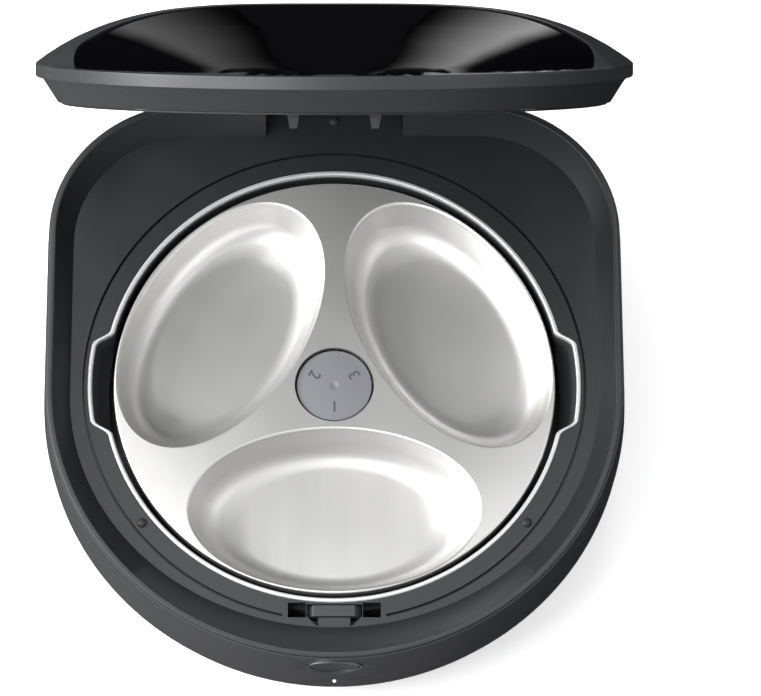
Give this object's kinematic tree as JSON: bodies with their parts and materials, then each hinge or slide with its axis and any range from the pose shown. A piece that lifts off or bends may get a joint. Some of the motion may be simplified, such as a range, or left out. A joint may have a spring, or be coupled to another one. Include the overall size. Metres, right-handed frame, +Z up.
{
  "type": "wet food pet feeder",
  "caption": "Chilled wet food pet feeder: D-shaped body with an oval-bowled turning tray, open hinged lid with a conical gloss door.",
  "frame": {"origin": "on the surface it stands on, under the middle of the footprint that the body and the open lid share", "axes": "+Z up, -Y towards the front with the release button, +X to the right as seen from the front"},
  "size_m": [0.313, 0.3504, 0.3774],
  "materials": {
    "body": "satin",
    "deck": "fine satin texture",
    "gloss": "high gloss",
    "steel": "satin stainless",
    "bright": "polished",
    "alloy": "satin",
    "cap": "satin",
    "dark": "matt",
    "rubber": "matt",
    "foam": "matt",
    "nylon": "satin",
    "board": "satin",
    "ceramic": "matt",
    "light": "frosted"
  },
  "bodies": {
    "base": {"outer_shell": "body", "top_deck": "deck", "latch_bridge": "deck", "latch_tab": "dark", "bottom_cover": "dark", "foot_front_left": "rubber", "foot_front_right": "rubber", "foot_rear_right": "rubber", "foot_rear_left": "rubber", "bumper_right": "rubber", "bumper_left": "rubber", "bumper_rear": "rubber", "cooling_pot": "dark", "pot_rim": "bright", "insulation_ring": "foam", "shaft_bush": "nylon", "gear_motor": "alloy", "cold_block": "alloy", "peltier_module": "ceramic", "heat_sink": "alloy", "fan_frame": "dark", "control_board": "board", "dc_socket": "dark", "button_bezel": "bright", "light_pipe": "light", "hinge_housing": "body", "hinge_pin": "steel"},
    "turntable": {"turntable": "dark", "hub_cap": "cap", "turntable_shaft": "steel", "drive_gear": "nylon"},
    "tray": {"food_tray": "steel"},
    "motor_pinion": {"motor_pinion": "nylon"},
    "fan": {"fan_rotor": "dark"},
    "button": {"release_button": "body"},
    "latch": {"latch_slider": "nylon"},
    "lid": {"lid_lower_shell": "deck", "lid_frame": "body", "feed_seal": "rubber", "lid_seal": "rubber", "shutter_rail_left": "nylon", "shutter_rail_right": "nylon", "shutter_motor": "alloy"},
    "door": {"shutter": "gloss"},
    "door_pinion": {"shutter_pinion": "nylon"}
  },
  "joints": [
    {"name": "lid_hinge", "type": "hinge", "parent": "base", "child": "lid", "pos_m": [0, 0.1625, 0.074], "axis": [-1, 0, 0], "range_deg": [-61.3, 20]},
    {"name": "door_swing", "type": "hinge", "parent": "lid", "child": "door", "pos_m": [0, -0.14902, 0.12553], "axis": [-1, 0, 0], "range_deg": [0, 20]},
    {"name": "door_pinion_spin", "type": "hinge", "parent": "lid", "child": "door_pinion", "pos_m": [0.082, 0.09487, 0.2482], "axis": [-1, 0, 0], "range_deg": [-2, 932]},
    {"name": "turntable_spin", "type": "hinge", "parent": "base", "child": "turntable", "pos_m": [0, -0.012, 0.045], "axis": [0, 0, 1], "continuous": true},
    {"name": "motor_pinion_spin", "type": "hinge", "parent": "base", "child": "motor_pinion", "pos_m": [0.03195, 0.01037, 0.028], "axis": [0, 0, 1], "continuous": true},
    {"name": "tray_lift", "type": "slide", "parent": "turntable", "child": "tray", "axis": [0, 0, 1], "range_m": [0, 0.06]},
    {"name": "fan_spin", "type": "hinge", "parent": "base", "child": "fan", "pos_m": [-0.074, 0.008, 0.013], "axis": [0, 0, 1], "continuous": true},
    {"name": "button_press", "type": "slide", "parent": "base", "child": "button", "axis": [0, 1, 0], "range_m": [0, 0.0025], "stiffness_N_per_m": 600, "springref_m": -0.002},
    {"name": "latch_slide", "type": "slide", "parent": "base", "child": "latch", "axis": [0, 1, 0], "range_m": [0, 0.0025]}
  ],
  "couplings": [
    {"joint": "door_pinion_spin", "follows": "door_swing", "ratio": 46.5},
    {"joint": "motor_pinion_spin", "follows": "turntable_spin", "ratio": -3.3333},
    {"joint": "latch_slide", "follows": "button_press", "ratio": 1}
  ]
}
